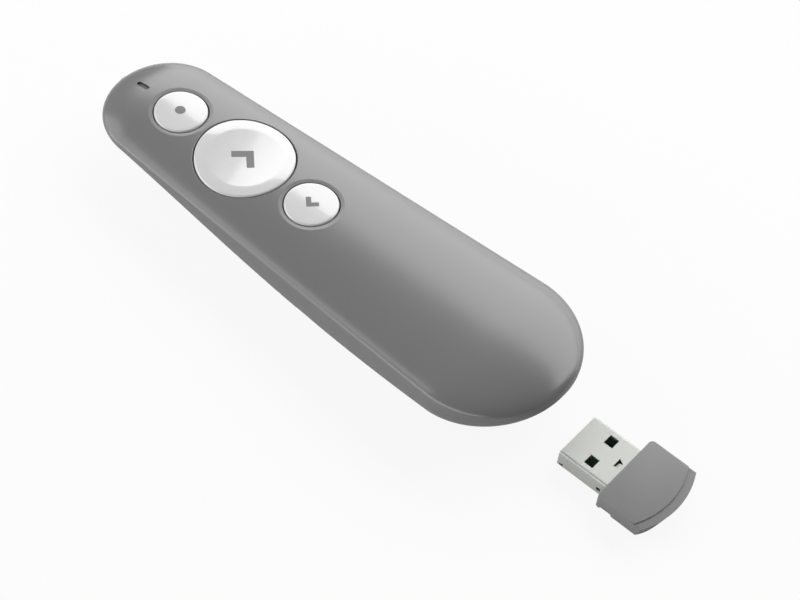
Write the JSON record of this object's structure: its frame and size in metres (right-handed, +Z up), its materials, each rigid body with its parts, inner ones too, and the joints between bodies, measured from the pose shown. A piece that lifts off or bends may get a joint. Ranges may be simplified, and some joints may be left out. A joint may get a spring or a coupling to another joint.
{
  "type": "wireless presentation clicker",
  "caption": "Slim matt grey hand-held presentation clicker with white buttons, a laser pointer tip, a hinged battery door and a plug-in receiver lying behind its tail.",
  "frame": {"origin": "middle of the flat underside that the clicker rests on", "axes": "+X from the pointing tip to the tail, +Y to the holder's right when the tip points away, +Z up through the buttons"},
  "size_m": [0.154, 0.0394, 0.0179],
  "materials": {
    "case_grey": "fine matt soft-touch grey",
    "button_white": "gloss white",
    "mark_grey": "satin mid grey",
    "inner_black": "matt black",
    "clear": "clear moulding",
    "dark_window": "dark tinted window",
    "board_green": "green solder mask",
    "part_black": "black epoxy",
    "steel": "plated sheet steel",
    "brass": "turned brass",
    "gold": "gold plated",
    "rubber_pad": "soft foam rubber",
    "stem_rubber": "silicone",
    "cell_print": "printed sleeve",
    "cell_can": "nickel plated can",
    "wire_red": "insulation",
    "plug_white": "white insulator"
  },
  "bodies": {
    "root": {"top_shell": "case_grey", "bottom_pan": "case_grey", "receiver_dock": "case_grey", "hinge_pin": "steel", "battery_tray": "inner_black", "aaa_cell": "cell_can", "cell_sleeve": "cell_print", "negative_plate": "steel", "positive_plate": "steel", "negative_spring": "steel", "battery_leads": "wire_red", "case_screws": "steel", "main_board": "board_green", "switch_housings": "part_black", "radio_chip": "part_black", "crystal_can": "steel", "board_parts": "part_black", "status_led": "plug_white", "light_pipe": "clear", "laser_barrel": "brass", "laser_lens": "clear", "laser_diode": "gold", "aperture_window": "dark_window", "laser_mount": "inner_black", "laser_leads": "wire_red"},
    "laser_button": {"laser_button": "button_white", "laser_mark": "mark_grey", "laser_stem": "stem_rubber"},
    "forward_button": {"forward_button": "button_white", "forward_mark": "mark_grey", "forward_stem": "stem_rubber"},
    "back_button": {"back_button": "button_white", "back_mark": "mark_grey", "back_stem": "stem_rubber"},
    "door": {"battery_door": "case_grey", "door_pad": "rubber_pad"},
    "receiver": {"receiver_cap": "case_grey", "plug_shell": "steel", "plug_core": "plug_white", "plug_board": "board_green", "plug_contacts": "gold", "receiver_chip": "part_black"}
  },
  "joints": [
    {"name": "laser_press", "type": "slide", "parent": "root", "child": "laser_button", "axis": [0.0297, 0, -0.9996], "range_m": [0, 0.0004], "stiffness_N_per_m": 1500},
    {"name": "forward_press", "type": "slide", "parent": "root", "child": "forward_button", "axis": [0.0297, 0, -0.9996], "range_m": [0, 0.0004], "stiffness_N_per_m": 1500},
    {"name": "back_press", "type": "slide", "parent": "root", "child": "back_button", "axis": [0.0297, 0, -0.9996], "range_m": [0, 0.0004], "stiffness_N_per_m": 1500},
    {"name": "door_hinge", "type": "hinge", "parent": "root", "child": "door", "pos_m": [-0.0275, 0, 0.0031], "axis": [0, 1, 0], "range_deg": [0, 70]},
    {"name": "receiver_dock_slide", "type": "slide", "parent": "root", "child": "receiver", "axis": [-0.9843, 0, 0.1763], "range_m": [0, 0.03119]}
  ]
}
